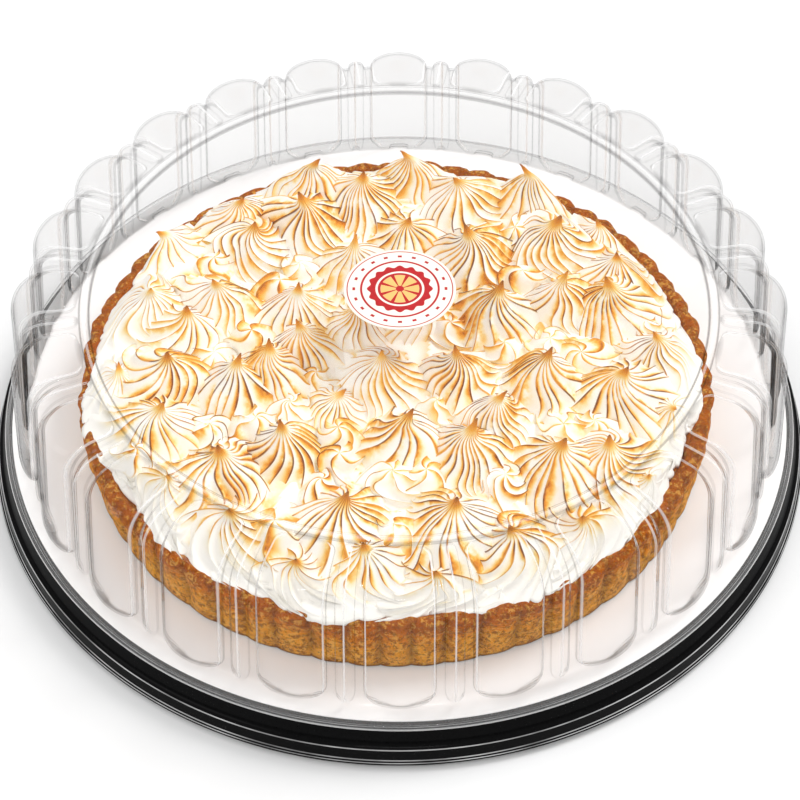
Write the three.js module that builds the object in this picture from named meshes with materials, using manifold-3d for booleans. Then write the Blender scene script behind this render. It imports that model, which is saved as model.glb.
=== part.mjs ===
// Lemon meringue pie in its round takeaway container: a stepped black tray, a white cake board,
// a fluted shortcrust shell, piped and toasted meringue, a clear ribbed dome and a round label.
// Millimetres, +Z up. The origin is on the table, under the middle of the tray.
import * as THREE from "three";
import { mergeVertices } from "three/addons/utils/BufferGeometryUtils.js";
import Module from "manifold-3d";

const wasm = await Module();
wasm.setup();

// ---- Driving dimensions ----------------------------------------------------------------------
const GAP = 0.3;                 // clearance kept between pieces that rest on each other

const TRAY_RADIUS = 152.5;       // outer edge of the tray, at the table
const TRAY_HEIGHT = 16.1;        // top of the tray's ledge, where the dome's flange rests
const SLOPE_FOOT = [148.8, 9.6]; // radius and height of the foot of the slope outside the ledge
const TRAY_WALL = 1.2;           // sheet thickness
const LEDGE_INNER = 145.2;       // inner edge of that ledge
const LEDGE_WIDTH = 0.6;         // the ledge is hardly more than an edge, with a slope outside it
const TRAY_SIDES = 48;

const BOARD_RADIUS = 144.8;
const BOARD_THICK = 2.2;
const BOARD_TOP = 16.0;

const DOME_TOP = 72.6;           // crest of the ring round the dome's top plate
const PLATE_Z = 71.0;            // the plate itself, slightly sunk
const PLATE_RADIUS = 109.7;
const RING_RADIUS = 113.7;
const DOME_WALL = 0.9;           // sheet thickness
const DOME_FOOT = 138.2;         // radius of the wall's valleys where it meets the flange
const FLANGE_RADIUS = 146.4;     // where the flange turns down over the tray's slope
const LIP_FOOT = [147.4, 15.4];   // radius and height of the turned-down lip's lower edge
const LOBES = 24;                // wide lobes round the wall, with a narrow rib between each two
const LOBE_RELIEF = 5.6;         // how far a wide lobe stands proud of the wall
const RIB_RELIEF = 2.7;          // how far a narrow rib does
const LOBE_HALF = 4.9;           // half the width of a lobe, in degrees
const RIB_HALF = 1.4;
const DOME_SIDES = LOBES * 6;    // a lobe's three points, two valleys and a rib

const PIE_CENTRE = [-1.4, -10.0];  // the pie was set down a little off the middle of the board
const PIE_BASE_RADIUS = 112.8;
const PIE_RIM_RADIUS = 114.4;
const CRUST_HEIGHT = 24.6;
const RIM_WIDTH = 7.5;
const FILL_DROP = 2.4;           // how far the filling's surface lies below the rim
const FLUTES = 60;
const FLUTE_DEPTH = 1.3;         // half the height of a flute, crest to valley

const DOLLOP_RIDGES = 7;
const RIDGE_PROUD = 0.07;        // a ridge's crest and valley, as shares of the dollop's radius
const RIDGE_SUNK = 0.13;
const DOLLOP_TWIST = 0.8;        // how far the ridges turn from a dollop's foot to its tip, in radians
const GOLDEN_ANGLE = 2.4;        // turns each dollop's ridges away from its neighbours'
const MERINGUE_CENTRE = [-0.8, -1.5];  // middle of the piping, from the middle of the pie
const MERINGUE_REACH = 111.0;    // dollops stop at this distance from the middle of the piping

const LABEL_RADIUS = 20.0;
const LABEL_THICK = 0.4;
const LABEL_CENTRE = [0.3, 0.6];

const PIE_BASE_Z = BOARD_TOP + GAP;
const RIM_Z = PIE_BASE_Z + CRUST_HEIGHT;
const FILL_Z = RIM_Z - FILL_DROP;

// Piped dollops: x and y of the tip from the middle of the piping, the tip's height above the rim,
// and the usual radius of the dollop.
const DOLLOPS = [
  [-32, 94, 22, 21], [-12, 87, 19, 22], [7, 99, 21, 18], [26, 86, 19, 23], [54, 88, 22, 20],
  [-87, 63, 12, 20], [-60, 79, 13, 20], [-53, 62, 15, 21], [-33, 73, 20, 21], [-15, 49, 19, 21],
  [29, 54, 21, 23], [60, 60, 20, 25], [84, 45, 17, 21], [5, 66, 14, 19], [80, 68, 10, 18],
  [-90, 28, 17, 23], [-75, 17, 16, 20], [-64, 29, 20, 20], [-35, 26, 20, 20], [-33, 8, 19, 19],
  [38, 24, 21, 23], [61, 30, 20, 18], [80, 28, 19, 23], [96, 4, 16, 20], [8, 26, 17, 22],
  [-80, -7, 18, 22], [-56, -11, 21, 20], [-44, -4, 20, 22], [-4, -8, 20, 23], [23, -7, 21, 19],
  [54, -8, 21, 21], [80, -14, 18, 23], [-98, -8, 10, 17], [98, -24, 9, 18],
  [-82, -30, 17, 23], [-38, -41, 20, 21], [4, -37, 21, 22], [26, -43, 21, 21], [36, -27, 20, 18],
  [-58, -51, 19, 22], [56, -49, 20, 22], [74, -48, 18, 25], [-17, -71, 18, 23], [20, -73, 18, 23],
  [-9, -88, 12, 21], [40, -82, 14, 22], [-77, -58, 11, 22], [-54, -73, 12, 23], [-32, -92, 8, 21],
  [14, -97, 8, 19], [64, -76, 10, 21], [88, -56, 8, 20], [-14, 20, 15, 18], [-20, -20, 11, 18],
];

// ---- Helpers -----------------------------------------------------------------------------------

// A solid turned from a profile of [radius, height, relief] rows. The profile starts and ends on the
// axis. shift(azimuth, row, side) returns how far a point moves out and up, and how far it turns;
// azimuth 0 faces -Y.
function turned(profile, sides, shift, start = 0) {
  const points = profile.map(([r, z]) => new THREE.Vector2(r, z));
  const geometry = new THREE.LatheGeometry(points, sides);
  const position = geometry.attributes.position;
  for (let i = 0; i < position.count; i += 1) {
    const row = profile[i % profile.length];
    const side = Math.floor(i / profile.length) % sides;
    const azimuth = start + (side / sides) * 2 * Math.PI;
    const [out, up, turn] = shift ? shift(azimuth, row, side) : [0, 0, 0];
    const radius = row[0] === 0 ? 0 : row[0] + out;
    const x = radius * Math.sin(azimuth + turn);
    const y = -radius * Math.cos(azimuth + turn);
    position.setXYZ(i, x, y, row[1] + up);
  }
  return welded(geometry);
}

// The same geometry with shared vertices merged, no flat triangles and its faces pointing out.
function welded(geometry) {
  geometry.deleteAttribute("normal");
  geometry.deleteAttribute("uv");
  const merged = mergeVertices(geometry, 1e-4);
  const index = Array.from(merged.index.array);
  const position = merged.attributes.position;
  const a = new THREE.Vector3();
  const b = new THREE.Vector3();
  const c = new THREE.Vector3();
  const kept = [];
  let volume = 0;
  for (let i = 0; i < index.length; i += 3) {
    const [p, q, r] = index.slice(i, i + 3);
    if (p !== q && q !== r && p !== r) {
      a.fromBufferAttribute(position, p);
      b.fromBufferAttribute(position, q);
      c.fromBufferAttribute(position, r);
      volume += a.dot(b.cross(c));
      kept.push(p, q, r);
    }
  }
  merged.setIndex(volume < 0 ? kept.reverse() : kept);
  return merged;
}

function toSolid(geometry) {
  const vertProperties = new Float32Array(geometry.attributes.position.array);
  const triVerts = new Uint32Array(geometry.index.array);
  return new wasm.Manifold(new wasm.Mesh({ numProp: 3, vertProperties, triVerts }));
}

function toGeometry(solid) {
  const mesh = solid.getMesh();
  const geometry = new THREE.BufferGeometry();
  geometry.setAttribute("position", new THREE.BufferAttribute(mesh.vertProperties, 3));
  geometry.setIndex(new THREE.BufferAttribute(mesh.triVerts, 1));
  return geometry;
}

function part(name, geometry, color, roughness, extra = {}) {
  const material = new THREE.MeshStandardMaterial({ color, roughness, metalness: 0, ...extra });
  const mesh = new THREE.Mesh(geometry, material);
  mesh.name = name;
  return mesh;
}

// ---- Tray and board ----------------------------------------------------------------------------

// Thermoformed sheet: a raised floor for the board, a ledge round it, and two steps down to the foot.
function tray() {
  const floor = BOARD_TOP - BOARD_THICK - GAP;
  const outer = [
    [0, floor], [LEDGE_INNER, floor], [LEDGE_INNER + 0.2, TRAY_HEIGHT],
    [LEDGE_INNER + LEDGE_WIDTH, TRAY_HEIGHT], SLOPE_FOOT, [LEDGE_INNER + 5.4, 8.8],
    [LEDGE_INNER + 6.2, 4.0], [TRAY_RADIUS, 3.2], [TRAY_RADIUS, 0],
  ];
  const under = floor - TRAY_WALL;
  const inner = [
    [LEDGE_INNER + 5.1, 0], [LEDGE_INNER + 4.4, 7.6], [LEDGE_INNER + 2.4, 8.4],
    [LEDGE_INNER + 1.0, under + 0.8], [LEDGE_INNER + 0.4, under], [0, under],
  ];
  return turned([...outer, ...inner], TRAY_SIDES);
}

function board() {
  const low = BOARD_TOP - BOARD_THICK;
  return turned([[0, low], [BOARD_RADIUS, low], [BOARD_RADIUS, BOARD_TOP], [0, BOARD_TOP]], TRAY_SIDES);
}

// ---- Crust -------------------------------------------------------------------------------------

// The shell with its hidden filling, as one solid: fluted wall, rounded rim, and the filling's flat
// surface under the meringue. A row's third value is how much of the flutes it carries.
function crust() {
  const profile = [
    [0, PIE_BASE_Z, 0], [PIE_BASE_RADIUS, PIE_BASE_Z, 0.5], [PIE_RIM_RADIUS, RIM_Z - 1.8, 1],
    [PIE_RIM_RADIUS - 1.4, RIM_Z, 0.8], [PIE_RIM_RADIUS - RIM_WIDTH + 1.5, RIM_Z, 0],
    [PIE_RIM_RADIUS - RIM_WIDTH, FILL_Z, 0], [0, FILL_Z, 0],
  ];
  return turned(profile, FLUTES * 2, (azimuth, row) => [
    FLUTE_DEPTH * row[2] * Math.cos(FLUTES * azimuth), 0, 0,
  ]);
}

// ---- Meringue ----------------------------------------------------------------------------------

// One piped dollop: a drawn-up tip and ridges that fan out and down, with the twist of the nozzle.
// It reaches further where there is room before the pie's edge, and less where the edge is near.
function dollop([x, y, rise, spread], number) {
  const base = RIM_Z + GAP;
  const profile = [
    [0, 0, 0], [0.94, 0, 0.6], [1, 0.12, 1], [0.62, 0.46, 1], [0.2, 0.82, 0.7], [0, 1, 0],
  ].map(([r, h, relief]) => [r * spread, base + h * rise, relief, h * DOLLOP_TWIST]);
  const geometry = turned(profile, DOLLOP_RIDGES * 2, (azimuth, row, side) => {
    const dx = Math.sin(azimuth + row[3]);
    const dy = -Math.cos(azimuth + row[3]);
    const ridge = side % 2 === 0 ? RIDGE_PROUD : -RIDGE_SUNK;
    return [row[0] * (reach(x, y, dx, dy, spread) * (1 + ridge * row[2]) - 1), 0, row[3]];
  }, number * GOLDEN_ANGLE);
  geometry.translate(x + MERINGUE_CENTRE[0], y + MERINGUE_CENTRE[1], 0);
  return toSolid(geometry);
}

// How far a dollop spreads in one direction, as a share of its usual radius.
function reach(x, y, dx, dy, spread) {
  const along = x * dx + y * dy;
  const room = Math.sqrt(along * along + MERINGUE_REACH ** 2 - x * x - y * y) - along;
  const share = THREE.MathUtils.clamp(room / spread, 0.3, 1.45);
  return share > 1 ? 1 + (share - 1) * outward(x, y, dx, dy) : share;
}

// 1 where a direction leads straight away from the piping's middle, 0 where it leads back or across.
function outward(x, y, dx, dy) {
  const distance = Math.hypot(x, y);
  return distance < 60 ? 0 : Math.max(0, (x * dx + y * dy) / distance) ** 2;
}

// A low bed of meringue on the filling, inside the rim, with every dollop joined to it.
function meringue() {
  const bed = PIE_RIM_RADIUS - RIM_WIDTH - GAP;
  const low = FILL_Z + GAP;
  const pieces = DOLLOPS.map(dollop);
  pieces.push(toSolid(turned([
    [0, low], [bed, low], [bed, RIM_Z + 1.2], [bed - 5, RIM_Z + 3.5], [0, RIM_Z + 5],
  ], 28)));
  return toGeometry(wasm.Manifold.union(pieces));
}

// ---- Dome --------------------------------------------------------------------------------------

// How far the wall stands proud at an azimuth: 24 wide rounded lobes and 24 narrow ribs.
function relief(azimuth) {
  const pitch = 360 / LOBES;
  const degrees = THREE.MathUtils.radToDeg(azimuth);
  const offset = degrees - pitch * Math.round(degrees / pitch);
  const wide = Math.max(0, 1 - (offset / LOBE_HALF) ** 2);
  const narrow = Math.max(0, 1 - ((Math.abs(offset) - pitch / 2) / RIB_HALF) ** 2);
  return LOBE_RELIEF * Math.sqrt(wide) + RIB_RELIEF * Math.sqrt(narrow);
}

// A thin shell, open below, with a lip turned down at its foot. A row's third and fourth values, where
// it has them, are how much of the relief moves its point out and up.
function dome() {
  const seat = TRAY_HEIGHT + GAP;
  const outer = [
    [0, PLATE_Z, 0, 0], [PLATE_RADIUS, PLATE_Z, 0, 0], [PLATE_RADIUS + 1.5, DOME_TOP, 0, 0],
    [RING_RADIUS, DOME_TOP - 0.6, 0, 0], [129.6, DOME_TOP - 4.4, 0.7, 0.71],
    [134.0, DOME_TOP - 14.1, 0.95, 0.54], [DOME_FOOT, seat + DOME_WALL, 0.8, 0],
    [FLANGE_RADIUS, seat + DOME_WALL, 0, 0], LIP_FOOT,
  ];
  const inner = [
    [LIP_FOOT[0] - DOME_WALL, LIP_FOOT[1]], [FLANGE_RADIUS - 0.5, seat, 0, 0],
    [DOME_FOOT - DOME_WALL, seat, 0.8, 0], [134.0 - DOME_WALL, DOME_TOP - 14.5, 0.95, 0.54],
    [129.1, DOME_TOP - 5.2, 0.7, 0.71], [PLATE_RADIUS + 0.4, PLATE_Z - DOME_WALL, 0, 0],
    [0, PLATE_Z - DOME_WALL, 0, 0],
  ];
  return turned([...outer, ...inner], DOME_SIDES, (azimuth, row) => {
    const proud = relief(azimuth);
    const [, , out = 0, up = 0] = row;
    return [proud * out, proud * up, 0];
  });
}

function label() {
  const low = PLATE_Z + GAP;
  const high = low + LABEL_THICK;
  const geometry = turned([[0, low], [LABEL_RADIUS, low], [LABEL_RADIUS, high], [0, high]], 32);
  geometry.translate(LABEL_CENTRE[0], LABEL_CENTRE[1], 0);
  return geometry;
}

// ---- Assembly ----------------------------------------------------------------------------------

const pie = new THREE.Group();
pie.position.set(PIE_CENTRE[0], PIE_CENTRE[1], 0);
pie.add(part("pie_crust", crust(), 0xb9732f, 0.8));
pie.add(part("meringue", meringue(), 0xfaf3e6, 0.6));

const container = new THREE.Group();
container.add(part("base_tray", tray(), 0x0b0b0c, 0.15));
container.add(part("cake_board", board(), 0xf2f0ee, 0.5));
container.add(pie);
container.add(part("dome_lid", dome(), 0xf4f6f8, 0.05, { transparent: true, opacity: 0.2 }));
container.add(part("label", label(), 0xf6eadb, 0.45));

export default container;
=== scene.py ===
# Lemon meringue pie in a round takeaway container. Sizes below are in millimetres, in the packed
# part's frame: +Z up, the origin on the table under the middle of the tray. Azimuth 0 faces -Y.
import math

import bpy
import numpy as np
from mathutils import Matrix, Vector


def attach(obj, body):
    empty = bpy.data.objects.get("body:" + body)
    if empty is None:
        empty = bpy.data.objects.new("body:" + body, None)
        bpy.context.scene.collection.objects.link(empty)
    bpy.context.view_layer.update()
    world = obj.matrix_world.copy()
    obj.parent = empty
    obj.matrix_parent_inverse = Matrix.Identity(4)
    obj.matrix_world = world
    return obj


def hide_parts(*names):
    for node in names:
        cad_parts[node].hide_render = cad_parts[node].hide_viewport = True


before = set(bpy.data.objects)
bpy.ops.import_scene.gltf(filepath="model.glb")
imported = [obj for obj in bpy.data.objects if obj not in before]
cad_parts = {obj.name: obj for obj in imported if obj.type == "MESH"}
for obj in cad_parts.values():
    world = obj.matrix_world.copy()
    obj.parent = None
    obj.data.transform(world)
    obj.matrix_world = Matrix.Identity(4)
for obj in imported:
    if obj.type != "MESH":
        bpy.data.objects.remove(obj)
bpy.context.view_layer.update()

MM = 0.001

# ---- Dimensions shared with the solids ---------------------------------------------------------
GAP = 0.3
LEDGE_INNER = 145.2
TRAY_HEIGHT = 16.1
BOARD_RADIUS = 144.8
BOARD_THICK = 2.2
BOARD_TOP = 16.0
BOARD_SHIFT = np.array([0.0, 1.0, 0.0])
BOARD_RIM_THICK = 0.3
DOME_TOP = 72.6
PLATE_Z = 71.0
PLATE_RADIUS = 109.7
RING_RADIUS = 113.7
DOME_WALL = 0.9
FLANGE_RADIUS = 146.4
LIP_FOOT = (147.4, 15.4)
LOBES = 24
PIE_CENTRE = np.array([-1.4, -10.0, 0.0])
PIE_BASE_RADIUS = 112.8
PIE_RIM_RADIUS = 114.4
CRUST_HEIGHT = 24.6
RIM_WIDTH = 7.5
FILL_DROP = 2.4
FLUTES = 60
MERINGUE_CENTRE = PIE_CENTRE + np.array([-0.8, -1.5, 0.0])
MERINGUE_REACH = 111.0
LABEL_RADIUS = 20.0
LABEL_THICK = 0.4
LABEL_CENTRE = np.array([0.3, 0.6, 0.0])
LABEL_HUB = 1.0
LABEL_SIDES = 128
PIE_BASE_Z = BOARD_TOP + GAP
RIM_Z = PIE_BASE_Z + CRUST_HEIGHT
FILL_Z = RIM_Z - FILL_DROP

# Piped dollops: x and y of the tip from the middle of the piping, the tip's height above the rim,
# and the usual radius of the dollop.
DOLLOPS = [
    [-32, 94, 22, 21], [-12, 87, 19, 22], [7, 99, 21, 18], [26, 86, 19, 23], [54, 88, 22, 20],
    [-87, 63, 12, 20], [-60, 79, 13, 20], [-53, 62, 15, 21], [-33, 73, 20, 21], [-15, 49, 19, 21],
    [29, 54, 21, 23], [60, 60, 20, 25], [84, 45, 17, 21], [5, 66, 14, 19], [80, 68, 10, 18],
    [-90, 28, 17, 23], [-75, 17, 16, 20], [-64, 29, 20, 20], [-35, 26, 20, 20], [-33, 8, 19, 19],
    [38, 24, 21, 23], [61, 30, 20, 18], [80, 28, 19, 23], [96, 4, 16, 20], [8, 26, 17, 22],
    [-80, -7, 18, 22], [-56, -11, 21, 20], [-44, -4, 20, 22], [-4, -8, 20, 23], [23, -7, 21, 19],
    [54, -8, 21, 21], [80, -14, 18, 23], [-98, -8, 10, 17], [98, -24, 9, 18],
    [-82, -30, 17, 23], [-38, -41, 20, 21], [4, -37, 21, 22], [26, -43, 21, 21], [36, -27, 20, 18],
    [-58, -51, 19, 22], [56, -49, 20, 22], [74, -48, 18, 25], [-17, -71, 18, 23], [20, -73, 18, 23],
    [-9, -88, 12, 21], [40, -82, 14, 22], [-77, -58, 11, 22], [-54, -73, 12, 23], [-32, -92, 8, 21],
    [14, -97, 8, 19], [64, -76, 10, 21], [88, -56, 8, 20], [-14, 20, 15, 18], [-20, -20, 11, 18],
]

# What sets single dollops apart from the rest: ridges round the dollop, twist from tip to foot
# (radians), wave of the ridges, hook (mm) and its direction (degrees, 0 along +X), depth of the
# furrows, width, how strongly it is toasted and on which flank of its ridges.
STYLES = {
    0: dict(hook=5, aim=-30, twist=0.3, toast=0.95),
    1: dict(ridges=24, twist=0.35, toast=0.95, hook=1),
    2: dict(hook=5, aim=200, twist=-0.3, toast=0.85),
    4: dict(hook=6, aim=170, twist=0.3, toast=1.0),
    7: dict(twist=2.0, wave=0.10, toast=0.85, hook=1, ridges=15),
    8: dict(hook=4, aim=150, twist=0.25, toast=1.15),
    10: dict(ridges=20, twist=-0.4, toast=1.1),
    11: dict(ridges=20, twist=0.9, toast=1.0, hook=4, aim=20),
    15: dict(ridges=21, twist=0.2, toast=0.6),
    16: dict(twist=-1.8, wave=0.16, toast=0.95, hook=0.5, ridges=14),
    18: dict(toast=0.9, hook=1),
    20: dict(ridges=18, toast=1.25, hook=3, aim=40, wave=0.08),
    22: dict(ridges=21, twist=1.0, toast=0.95, hook=3, aim=150),
    25: dict(twist=-1.9, wave=0.14, toast=0.95, hook=0.5, ridges=14),
    26: dict(ridges=16, toast=1.15, hook=3, aim=20, twist=-0.35),
    27: dict(ridges=20, twist=1.1, toast=1.0, hook=2, aim=90),
    28: dict(ridges=20, toast=0.65, hook=0.5, twist=0.35),
    29: dict(ridges=18, toast=1.2, hook=1.5),
    30: dict(ridges=18, toast=1.2, hook=2.5, aim=10, twist=0.2),
    31: dict(ridges=22, twist=0.8, toast=0.95, hook=3, aim=-20),
    35: dict(ridges=17, toast=1.1, twist=-0.5, hook=1),
    36: dict(ridges=13, toast=1.3, wave=0.26, hook=3.5, aim=15),
    37: dict(ridges=21, toast=1.1, twist=0.3),
    39: dict(ridges=20, toast=1.1, hook=1.5, twist=0.2),
    40: dict(ridges=20, toast=1.1, hook=3, aim=0, twist=0.35),
    41: dict(ridges=22, twist=0.8, toast=0.9, hook=2, aim=100),
    42: dict(ridges=20, toast=1.15, hook=2.5, aim=10, twist=0.15),
    43: dict(ridges=20, toast=1.15, hook=1.5, aim=-10),
    44: dict(ridges=17, twist=0.5, toast=0.95, hook=1, relief=0.3),
    45: dict(ridges=15, twist=-1.1, toast=1.0, hook=2, relief=0.38),
    46: dict(ridges=14, twist=1.2, toast=0.7, hook=1, relief=0.44),
    47: dict(ridges=14, twist=1.7, toast=0.8, hook=1, relief=0.46, scale=1.15),
    48: dict(ridges=12, twist=1.9, toast=0.9, hook=0, relief=0.48, scale=1.25),
    49: dict(ridges=12, twist=-1.5, toast=0.9, hook=0, relief=0.48, scale=1.25),
    50: dict(ridges=14, twist=-1.6, toast=0.9, hook=1, relief=0.46, scale=1.15),
    51: dict(ridges=15, twist=-0.9, toast=0.8, hook=1, relief=0.40),
}


# ---- Mesh helpers ------------------------------------------------------------------------------

def value_noise(points, size, seed):
    """Smooth random values from -1 to 1 that change over a distance of about size."""
    table = np.random.default_rng(seed).uniform(-1.0, 1.0, 4096)
    scaled = np.asarray(points, float) / size
    cell = np.floor(scaled).astype(np.int64)
    t = scaled - cell
    t = t * t * (3.0 - 2.0 * t)
    primes = np.array([73856093, 19349663, 83492791])
    total = np.zeros(scaled.shape[:-1])
    for corner in range(8):
        step = np.array([corner & 1, corner >> 1 & 1, corner >> 2])
        weight = np.prod(np.where(step == 1, t, 1.0 - t), axis=-1)
        mixed = (cell + step) * primes
        key = (mixed[..., 0] ^ mixed[..., 1] ^ mixed[..., 2]) % 4096
        total += weight * table[key]
    return total


def grid_faces(rows, columns):
    """Quads between neighbouring rows of points, each row closed round."""
    across = np.arange(columns)
    down = np.arange(rows - 1)
    a = down[:, None] * columns + across[None, :]
    b = down[:, None] * columns + (across[None, :] + 1) % columns
    return np.stack([a, b, b + columns, a + columns], axis=-1).reshape(-1, 4)


def fan_faces(ring, centre):
    """Triangles from a ring of point numbers to a centre point."""
    return np.stack([ring, np.roll(ring, -1), np.full(len(ring), centre)], axis=-1)


def new_piece(name, points, face_sets, attributes=None):
    """A mesh object from points in millimetres, with its faces pointing out."""
    points = np.asarray(points, float)
    volume = 0.0
    for faces in face_sets:
        a = points[faces[:, 0]]
        for k in range(1, faces.shape[1] - 1):
            crossed = np.cross(points[faces[:, k]], points[faces[:, k + 1]])
            volume += float(np.sum(a * crossed))
    if volume < 0:
        face_sets = [faces[:, ::-1] for faces in face_sets]
    mesh = bpy.data.meshes.new(name)
    mesh.vertices.add(len(points))
    mesh.vertices.foreach_set("co", (points * MM).astype(np.float32).ravel())
    corners = np.concatenate([faces.ravel() for faces in face_sets]).astype(np.int32)
    sizes = np.concatenate([np.full(len(faces), faces.shape[1]) for faces in face_sets])
    starts = np.concatenate([[0], np.cumsum(sizes)[:-1]]).astype(np.int32)
    mesh.loops.add(len(corners))
    mesh.loops.foreach_set("vertex_index", corners)
    mesh.polygons.add(len(sizes))
    mesh.polygons.foreach_set("loop_start", starts)
    mesh.polygons.foreach_set("use_smooth", np.full(len(sizes), True))
    mesh.update(calc_edges=True)
    mesh.validate()
    for key, values in (attributes or {}).items():
        layer = mesh.attributes.new(key, "FLOAT", "POINT")
        layer.data.foreach_set("value", np.asarray(values, np.float32))
    piece = bpy.data.objects.new(name, mesh)
    bpy.context.scene.collection.objects.link(piece)
    return piece


def finish_piece(piece, material, node):
    piece.data.materials.clear()
    piece.data.materials.append(material)
    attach(piece, "root")
    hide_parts(node)
    return piece


def rounded(corners, steps=5):
    """A profile of (radius, height, rounding) corners, as a line with its corners rounded."""
    line = []
    for i, (r, z, rounding) in enumerate(corners):
        here = np.array([r, z], float)
        if rounding == 0 or i in (0, len(corners) - 1):
            line.append(here)
            continue
        back = np.array(corners[i - 1][:2]) - here
        ahead = np.array(corners[i + 1][:2]) - here
        start = here + back * min(rounding / np.linalg.norm(back), 0.48)
        end = here + ahead * min(rounding / np.linalg.norm(ahead), 0.48)
        for t in np.linspace(0.0, 1.0, steps + 1):
            line.append((1 - t) ** 2 * start + 2 * t * (1 - t) * here + t * t * end)
    return np.array(line)


def creases(line):
    """1 inside the small round bends of a profile line, where its points lie close, and 0 elsewhere."""
    steps = np.linalg.norm(np.diff(line, axis=0), axis=1)
    widest = np.maximum(np.append(steps, 99.0), np.insert(steps, 0, 99.0))
    return np.where(widest < 0.35, 1.0, 0.0)


def finer(line, step):
    """The same profile line with extra points wherever two lie more than a step apart."""
    points = [line[:1]]
    for a, b in zip(line[:-1], line[1:]):
        parts = max(1, int(math.ceil(np.linalg.norm(b - a) / step)))
        points.append(a + (b - a) * np.linspace(0, 1, parts + 1)[1:, None])
    return np.concatenate(points)


def plain_rows(line, azimuth):
    """Rows of points from a profile line, turned round the axis to each azimuth."""
    r = line[:, 0][:, None]
    z = np.repeat(line[:, 1][:, None], len(azimuth), axis=1)
    return np.stack([r * np.sin(azimuth), -r * np.cos(azimuth), z], axis=-1)


def lathe_points(line, sides):
    """The same for azimuths at even steps."""
    return plain_rows(line, np.linspace(0.0, 2 * math.pi, sides, endpoint=False))


def closed(rows, first_end, last_end):
    """Points and faces of a solid from rows of points and a point that closes each end."""
    count, sides = rows.shape[:2]
    points = np.concatenate([rows.reshape(-1, 3), [first_end, last_end]])
    ring, end = np.arange(sides), count * sides
    faces = [grid_faces(count, sides), fan_faces(ring[::-1], end),
             fan_faces(ring + end - sides, end + 1)]
    return points, faces


def closed_lathe(rows):
    """The same, each end closed by the middle of its row."""
    return closed(rows, rows[0].mean(axis=0), rows[-1].mean(axis=0))


# ---- Material helpers --------------------------------------------------------------------------

class Nodes:
    """Short calls that build one material's node tree."""

    def __init__(self, name):
        self.material = bpy.data.materials.new(name)
        self.material.use_nodes = True
        self.tree = self.material.node_tree
        self.tree.nodes.clear()
        self.output = self.tree.nodes.new("ShaderNodeOutputMaterial")

    def add(self, kind, inputs=None, **settings):
        node = self.tree.nodes.new("ShaderNode" + kind)
        for key, value in settings.items():
            setattr(node, key, value)
        for key, value in (inputs or {}).items():
            socket = node.inputs[key]
            if isinstance(value, bpy.types.NodeSocket):
                self.tree.links.new(value, socket)
            else:
                socket.default_value = value
        return node

    def math(self, operation, *values, clamp=False):
        node = self.add("Math", dict(enumerate(values)), operation=operation, use_clamp=clamp)
        return node.outputs[0]

    def times(self, a, b):
        return self.math("MULTIPLY", a, b)

    def plus(self, a, b):
        return self.math("ADD", a, b)

    def minus(self, a, b, clamp=False):
        return self.math("SUBTRACT", a, b, clamp=clamp)

    def ramp(self, value, stops):
        node = self.add("ValToRGB", {0: value})
        ramp = node.color_ramp
        while len(ramp.elements) > 1:
            ramp.elements.remove(ramp.elements[-1])
        ramp.elements[0].position, ramp.elements[0].color = stops[0][0], colour(stops[0][1])
        for position, shade in stops[1:]:
            ramp.elements.new(position).color = colour(shade)
        return node.outputs[0]

    def smooth(self, value, low, high):
        node = self.add("MapRange", {0: value, 1: low, 2: high, 3: 0.0, 4: 1.0},
                        interpolation_type="SMOOTHSTEP")
        return node.outputs[0]

    def blend(self, factor, a, b):
        node = self.add("Mix", {0: factor, 6: colour(a), 7: colour(b)}, data_type="RGBA")
        return node.outputs[2]

    def noise(self, scale, detail=2.0, roughness=0.5):
        return self.add("TexNoise", {
            "Vector": self.position(), "Scale": scale, "Detail": detail, "Roughness": roughness,
        }).outputs[0]

    def position(self):
        return self.add("TexCoord").outputs["Object"]

    def attribute(self, name):
        return self.add("Attribute", attribute_name=name).outputs["Fac"]

    def bump(self, height, distance, strength):
        inputs = {"Height": height, "Distance": distance, "Strength": strength}
        return self.add("Bump", inputs).outputs[0]

    def surface(self, socket):
        self.tree.links.new(socket, self.output.inputs["Surface"])
        return self.material


def colour(value):
    """A node colour from three linear numbers, a grey, or a socket that is passed on."""
    if isinstance(value, bpy.types.NodeSocket):
        return value
    if isinstance(value, (int, float)):
        return (value, value, value, 1.0)
    return (*value, 1.0)


# ---- Materials ---------------------------------------------------------------------------------

def black_plastic():
    m = Nodes("black_plastic")
    grain = m.noise(900.0, 3.0)
    shade = m.ramp(grain, [(0.3, (0.0012, 0.0012, 0.0013)), (0.7, (0.0026, 0.0026, 0.0028))])
    # Painted highlight: the black is lightened towards grey along the tray's creases, broken up by noise,
    # for bright lines where the bends catch the light.
    crease = m.math("POWER", m.attribute("crease"), 1.5)
    glint = m.smooth(m.noise(30.0, 3.0, 0.6), 0.30, 0.62)
    painted_highlight = m.times(crease, m.plus(0.25, m.times(glint, 0.75)))
    shade = m.blend(m.times(painted_highlight, 0.8), shade, 0.62)
    wear = m.noise(60.0, 4.0, 0.6)
    roughness = m.add("MapRange", {0: wear, 1: 0.3, 2: 0.7, 3: 0.08, 4: 0.16}).outputs[0]
    shader = m.add("BsdfPrincipled", {
        "Base Color": shade, "Roughness": roughness, "IOR": 1.5, "Specular IOR Level": 0.05,
        "Normal": m.bump(m.noise(240.0, 2.0), 0.00003, 0.35),
    })
    return m.surface(shader.outputs[0])


def white_board():
    m = Nodes("white_board")
    tone = m.noise(18.0, 3.0)
    shade = m.ramp(tone, [(0.3, (0.950, 0.948, 0.946)), (0.7, (0.975, 0.973, 0.971))])
    fibre = m.noise(1400.0, 3.0, 0.6)
    shader = m.add("BsdfPrincipled", {
        "Base Color": shade, "Roughness": 0.42, "Specular IOR Level": 0.35,
        "Normal": m.bump(fibre, 0.00003, 0.4),
    })
    return m.surface(shader.outputs[0])


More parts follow.
